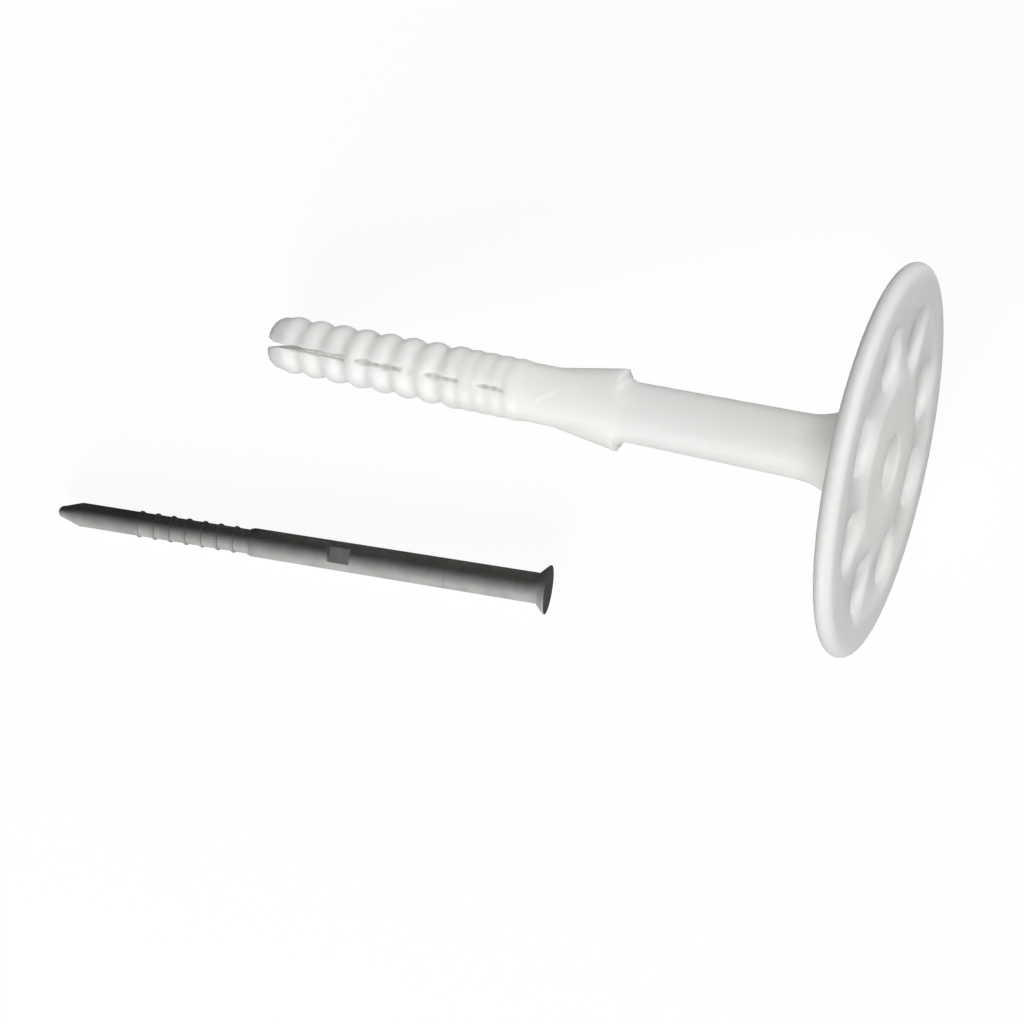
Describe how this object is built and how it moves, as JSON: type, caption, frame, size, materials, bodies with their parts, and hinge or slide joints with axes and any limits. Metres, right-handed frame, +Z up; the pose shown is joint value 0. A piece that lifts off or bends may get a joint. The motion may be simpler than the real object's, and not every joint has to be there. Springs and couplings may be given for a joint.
{
  "type": "hammer fixing plug",
  "caption": "Moulded insulation plug with ridged, slotted expansion zone, wings and a perforated disc, lying beside the hammer-in expansion pin that spreads it.",
  "frame": {"origin": "on the table, under the middle of the box round the two lying pieces", "axes": "+X runs from the plug's nose to its disc, +Y across the plug away from the pin, +Z up from the table"},
  "size_m": [0.1458, 0.069, 0.0584],
  "materials": {
    "plug_plastic": "satin",
    "pin_plastic": "matte"
  },
  "bodies": {
    "root": {"plug_body": "plug_plastic", "expansion_pin": "pin_plastic"}
  },
  "joints": []
}
